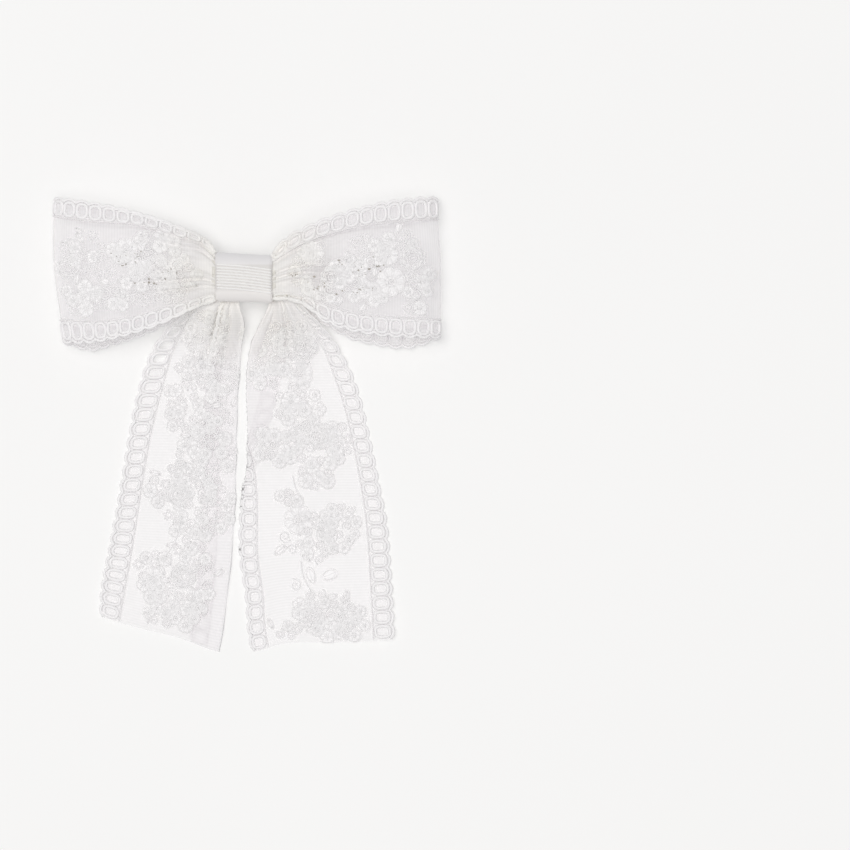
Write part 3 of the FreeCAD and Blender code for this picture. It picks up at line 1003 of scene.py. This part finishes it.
def make_wrap_ribs(material):
    """The raised cross ribs of the wrap's front, sloping down to the right."""
    sheaf = Sheaf()
    for index in range(WRAP_RIBS):
        offset = (index - (WRAP_RIBS - 1) / 2) * WRAP_RIB_PITCH
        x = np.linspace(WRAP_LOW[0] + 0.4, WRAP_HIGH[0] - 0.3, 40)
        y = offset - 0.16 - 0.1 * x - 0.004 * x**2
        z = [KNOT_Z + wrap_front(a, b) + 0.03 for a, b in zip(x, y)]
        wire(sheaf, np.column_stack([x, y, z]), WRAP_RIB_RADIUS)
    piece = sheaf.write("centre_wrap_ribs", material)
    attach(piece, "bow")


def make_waist(material):
    """The ribbon's layers gathered into pleats, filling the wrap from end to end."""
    columns, around = 44, 220
    x = np.linspace(WRAP_LOW[0] - 0.9, WRAP_HIGH[0] + 0.9, columns)
    turn = full_circle(around)
    points = np.zeros((columns, around, 3))
    for index, place in enumerate(x):
        pleats = 0.22 * np.sin(17 * turn + 0.5 * np.sin(0.4 * place)) + 0.1 * np.sin(29 * turn)
        y = (WRAP_HALF_Y - 1.15 + pleats) * np.cos(turn) - WRAP_TILT * place
        z = (WRAP_HALF_Z - 1.15 + pleats) * np.sin(turn)
        points[index] = np.column_stack([0 * y + place, y, KNOT_Z + z])
    faces = grid_faces(columns, around, wrap_columns=True) + end_caps(columns, around)
    sheaf = Sheaf()
    sheaf.add(points.reshape(-1, 3), faces)
    piece = sheaf.write("gathered_pleats", material)
    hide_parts("gathered_waist")
    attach(piece, "bow")


# -------- the clip

def make_spring(material):
    """The torsion spring: a coil round the pin, one leg on each jaw."""
    high = box_mm("clip_spring")[1]
    leg_points = 24
    wire_radius = 0.22
    coil_radius = (PIN_HIGH[2] - PIN_LOW[2]) / 2 + wire_radius + 0.12
    turns = 5.5
    steps = 260
    angle = np.linspace(0, TURN * turns, steps) + math.pi / 2
    half = turns * 0.25
    y = np.linspace(-half, half, steps)
    x = PIN_X + coil_radius * np.cos(angle)
    coil = np.column_stack([x, y, PIN_Z - coil_radius * np.sin(angle)])
    tip_x = high[0] - wire_radius
    first = np.linspace((tip_x, *coil[0, 1:]), coil[0], leg_points)
    last = np.linspace(coil[-1], (tip_x, *coil[-1, 1:]), leg_points)
    path = np.vstack([first[:-1], coil, last[1:]])
    sheaf = Sheaf()
    wire(sheaf, path, wire_radius)
    piece = sheaf.write("torsion_spring", material)
    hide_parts("clip_spring")
    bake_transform(piece)


def finish_cad_nodes():
    steel = steel_material("nickel_plate", (0.74, 0.73, 0.71), 900.0)
    glue = glue_material()
    sewing = plain_thread("sewing_thread", (0.86, 0.85, 0.82), 0.3, 0.6)
    finishes = {"clip_upper_jaw": steel, "clip_lower_jaw": steel, "clip_hinge_pin": steel,
                "knot_glue": glue, "clip_glue": glue, "gathering_thread": sewing}
    for name, material in finishes.items():
        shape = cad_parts[name].data
        shape.materials.clear()
        shape.materials.append(material)


# -------- putting the bow together

def move_with(tail, made):
    """Loops are attached to the bow; a tail's pieces only have their transform baked into their
    meshes.
    """
    for piece in made:
        if tail is None:
            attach(piece, "bow")
        else:
            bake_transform(piece)


def trim(name, ribbon, end, thread, cords):
    """Edging and cord along both sides, up to a little before each end of the ribbon."""
    made = []
    span = (0.5, ribbon.length - end)
    for side, word in ((-1, "lower"), (1, "upper")):
        made.append(edging(f"{name}_{word}_edging", ribbon, side, span, thread))
        made.append(cord(f"{name}_{word}_cord", ribbon, side, span, cords))
    return made


def make_loop(name, ribbon, embroider, gaps, finishes):
    organza, thread, cords, shade = finishes
    cloth = cloth_sheet(f"{name}_organza", ribbon, organza)
    sewn = trim(name, ribbon, 0.5, thread, cords)
    sewn.append(embroider(ribbon, thread))
    # The gaps pieces are dots of painted shade inside the gathers.
    sewn.append(painted_shade_specks(f"{name}_gaps", ribbon, gaps, shade))
    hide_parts(name)
    move_with(None, [cloth] + sewn)


def make_tail(name, ribbon, embroider, open_net, finishes):
    organza, thread, cords, _ = finishes
    cloth = cloth_sheet(f"{name}_organza", ribbon, organza, open_net)
    sewn = trim(name, ribbon, 0.4, thread, cords)
    sewn.append(embroider(ribbon, thread))
    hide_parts(f"{name}_root", name)
    move_with(f"{name}_end", [cloth] + sewn)


def make_bow():
    organza = organza_material()
    # The near colours are creamier and a little darker: partly the yarn's tint and partly painted
    # shade at the knot.
    thread = thread_material("embroidery_thread", (0.985, 0.972, 0.94), (0.99, 0.98, 0.985),
                             0.22, 0.6)
    cords = thread_material("satin_cord", (0.975, 0.962, 0.94), (0.98, 0.965, 0.972), 0.3, 0.5)
    # painted shade: a dark brown-grey yarn for the dots that stand in for shadow inside the gathers
    shade = thread_material("painted_shade_dots", (0.50, 0.45, 0.38), (0.45, 0.42, 0.38), 0.3, 0.8)
    finishes = (organza, thread, cords, shade)
    # Where the dots of painted shade lie on each loop.
    left_shade_specks = [(-35.5, 5.0, 1.6, 1.2, 7), (-30.5, 5.5, 0.7, 2.2, 9), (-22.0, 1.0, 1.6, 1.2, 7),
                 (-26.5, -1.2, 2.6, 0.7, 9), (-28.5, -2.2, 1.2, 1.0, 4)]
    right_shade_specks = [(21.0, -2.6, 2.2, 0.9, 7), (33.5, 2.2, 1.6, 1.6, 10), (38.0, 3.0, 0.8, 1.6, 9),
                  (33.5, -3.4, 3.0, 0.9, 12), (27.5, 3.6, 1.8, 0.9, 5), (14.5, 0.8, 1.8, 0.3, 6)]
    make_tail("left_tail", left_tail_shape(), embroider_left_tail, 26.0, finishes)
    make_tail("right_tail", right_tail_shape(), embroider_right_tail, 0.0, finishes)
    make_loop("left_loop", left_loop_shape(), embroider_left_loop, left_shade_specks, finishes)
    make_loop("right_loop", right_loop_shape(), embroider_right_loop, right_shade_specks, finishes)
    make_waist(plain_thread("pleated_lace", (0.84, 0.82, 0.77), 0.4, 0.6))
    make_wrap(grosgrain_material())
    make_wrap_ribs(plain_thread("grosgrain_ribs", (0.985, 0.975, 0.965), 0.2, 0.4))
    make_spring(steel_material("spring_wire", (0.66, 0.65, 0.64), 1500.0))
    finish_cad_nodes()


# -------- camera, floor and light

def make_camera():
    """Straight above the table, with a long lens. The bow lies left of the view's middle."""
    width_seen = 246.5
    height = 1200.0
    middle = (51.8, -42.3)
    data = bpy.data.cameras.new("camera")
    data.sensor_width = 36.0
    data.lens = data.sensor_width * height / width_seen
    data.clip_start, data.clip_end = 0.05, 10.0
    camera = bpy.data.objects.new("camera", data)
    camera.location = (middle[0] * MM, middle[1] * MM, height * MM)
    put_in_scene(camera)
    bpy.context.scene.camera = camera


def make_floor():
    half = 8.0
    mesh = bpy.data.meshes.new("floor")
    corners = [(-half, -half, 0), (half, -half, 0), (half, half, 0), (-half, half, 0)]
    mesh.from_pydata(corners, [], [(0, 1, 2, 3)])
    floor = bpy.data.objects.new("floor", mesh)
    mesh.materials.append(floor_material())
    put_in_scene(floor)


def area_light(name, place, power):
    """A square softbox aimed at the bow, in metres and watts."""
    data = bpy.data.lights.new(name, "AREA")
    data.shape = "SQUARE"
    data.size = 1.1
    data.energy = power
    data.color = (1.0, 0.99, 0.965)
    lamp = bpy.data.objects.new(name, data)
    lamp.location = place
    direction = Vector((0, -0.03, 0)) - Vector(place)
    lamp.rotation_euler = direction.to_track_quat("-Z", "Y").to_euler()
    put_in_scene(lamp)


def make_light():
    world = bpy.data.worlds.new("studio")
    world.use_nodes = True
    background = world.node_tree.nodes["Background"]
    set_inputs(background, {"Color": (0.98, 0.98, 1.0, 1.0), "Strength": 0.48})
    scene = bpy.context.scene
    scene.world = world
    area_light("softbox", (-0.5, 0.35, 2.4), 20.8)
    area_light("fill", (0.1, -0.3, 2.4), 12.7)
    scene.view_settings.view_transform = "Standard"
    scene.cycles.max_bounces = 24
    scene.cycles.diffuse_bounces = 16
    scene.cycles.transparent_max_bounces = 24


make_camera()
make_floor()
make_light()
make_bow()
